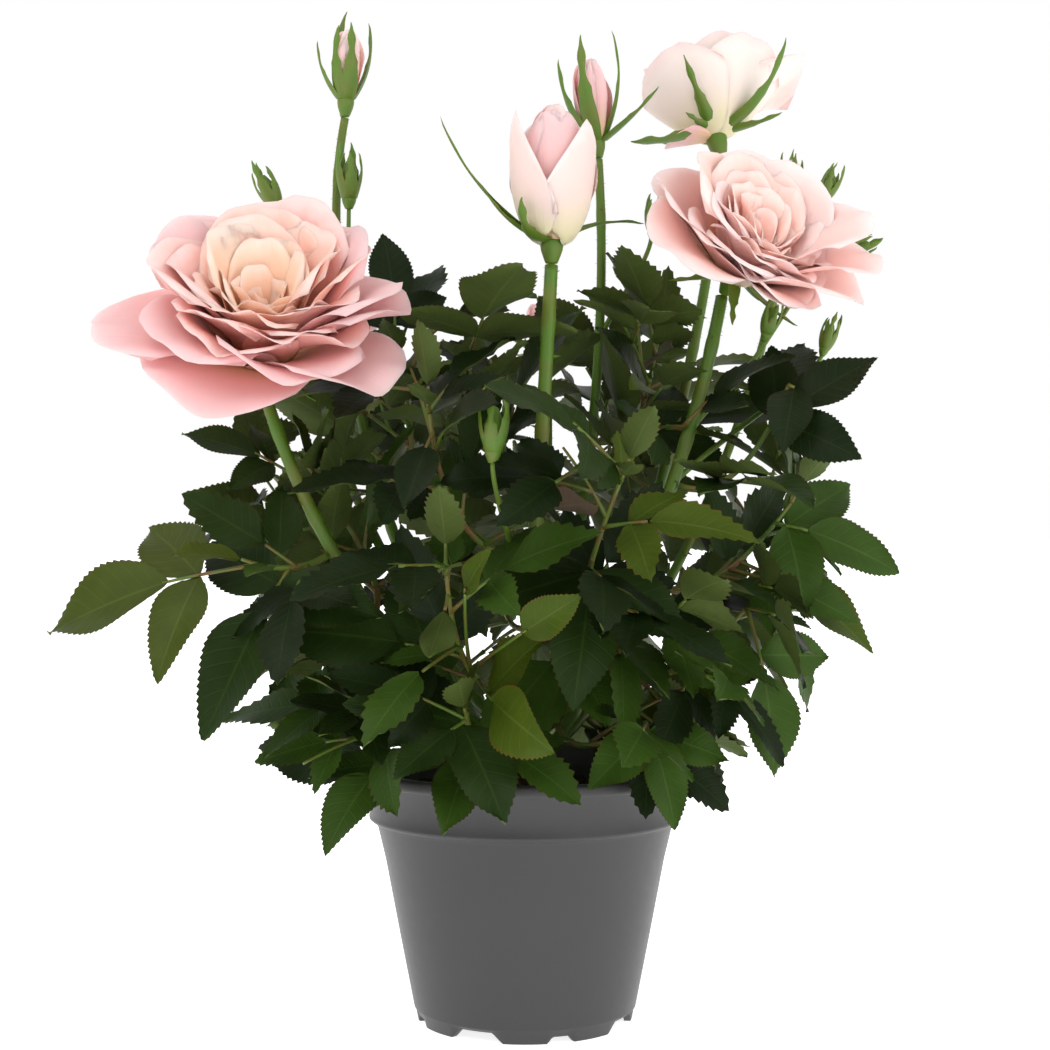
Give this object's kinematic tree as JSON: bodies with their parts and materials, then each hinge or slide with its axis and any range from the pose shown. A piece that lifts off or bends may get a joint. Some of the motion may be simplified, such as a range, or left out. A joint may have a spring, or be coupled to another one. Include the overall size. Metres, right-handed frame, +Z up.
{
  "type": "potted miniature rose bush",
  "caption": "Small bushy rose in a tapered plastic pot: leafy canes from one short woody stem, carrying full cupped blooms and buds.",
  "frame": {"origin": "centre of the pot's flat underside, on the level it stands on", "axes": "+Z up along the pot's axis; -Y towards the side with the large left bloom and the half-open centre bud in front; +X to the right of that side"},
  "size_m": [0.2762, 0.2176, 0.3472],
  "materials": {
    "pot": "grey moulded polypropylene, fine satin texture",
    "soil": "dark moist peat compost",
    "bark": "brown bark with fine cracks",
    "cane": "smooth green rose cane with bristles",
    "foliage": "dark green rose leaves, satin upper side and paler underside",
    "petal": "soft salmon pink petals, apricot towards the heart",
    "pale_petal": "creamy pale pink petals"
  },
  "bodies": {
    "root": {"pot": "pot", "soil": "soil", "trunk": "bark", "cane_left": "cane", "cane_top_left": "cane", "cane_centre": "cane", "cane_middle": "cane", "cane_right": "cane", "cane_top_right": "cane", "cane_far_right": "cane", "cane_back": "cane", "cane_back_left": "cane", "bloom_left": "petal", "bloom_right": "petal", "bloom_centre": "pale_petal", "bloom_top_right": "pale_petal", "bud_top_left": "pale_petal", "bud_top_middle": "petal", "bud_far_right": "pale_petal", "bud_back": "petal", "bloom_back_left": "petal", "shoot_far_left": "foliage", "shoot_left": "foliage", "shoot_left_low": "foliage", "shoot_top_left": "foliage", "shoot_front_low": "foliage", "shoot_front": "foliage", "shoot_front_high": "foliage", "shoot_crown_left": "foliage", "shoot_crown_right": "foliage", "shoot_front_right": "foliage", "shoot_right_high": "foliage", "shoot_right": "foliage", "shoot_right_low": "foliage", "shoot_rim_right": "foliage", "shoot_back_right": "foliage", "shoot_back_right_low": "foliage", "shoot_back": "foliage", "shoot_back_low": "foliage", "shoot_back_high": "foliage", "shoot_back_left": "foliage", "shoot_back_left_low": "foliage", "shoot_back_left_high": "foliage"}
  },
  "joints": []
}
